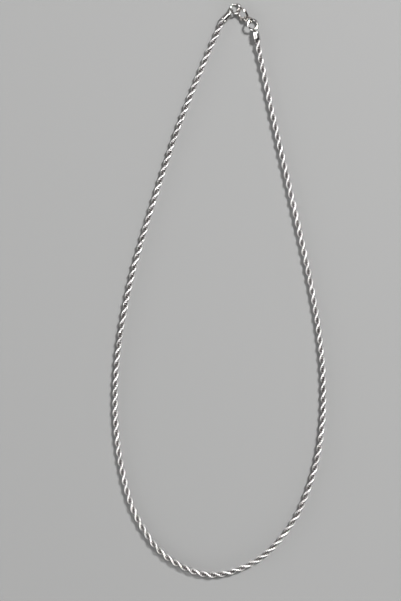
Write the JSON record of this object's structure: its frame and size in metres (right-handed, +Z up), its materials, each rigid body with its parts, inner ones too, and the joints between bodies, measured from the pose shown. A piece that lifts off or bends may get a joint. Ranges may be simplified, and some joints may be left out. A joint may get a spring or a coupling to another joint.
{
  "type": "rope chain necklace",
  "caption": "Rope chain necklace of twisted round links in polished steel, closed by a lobster clasp between two jump rings, lying in a loop.",
  "frame": {"origin": "middle of the necklace's footprint as it lies, on the surface it lies on", "axes": "+Y up the loop towards the clasp, +X to the right seen from above, +Z up from the surface"},
  "size_m": [0.0855, 0.2298, 0.0035],
  "materials": {
    "chain_steel": "polished steel wire links",
    "cap_steel": "polished turned steel",
    "ring_steel": "polished round wire",
    "clasp_steel": "tumbled and polished cast steel",
    "rivet_steel": "cut and set pin ends"
  },
  "bodies": {
    "necklace": {"rope_chain": "chain_steel", "end_cap_left": "cap_steel", "end_cap_right": "cap_steel", "jump_ring_left": "ring_steel", "jump_ring_right": "ring_steel", "clasp_body": "clasp_steel", "clasp_rivet": "rivet_steel"},
    "lever": {"clasp_lever": "clasp_steel"}
  },
  "joints": [
    {"name": "lever_hinge", "type": "hinge", "parent": "necklace", "child": "lever", "pos_m": [0.01036, 0.10846, 0.00133], "axis": [0.3933, 0.4811, -0.7835], "range_deg": [0, 22], "stiffness_Nm_per_rad": 0.0008, "springref_deg": -17.19}
  ]
}
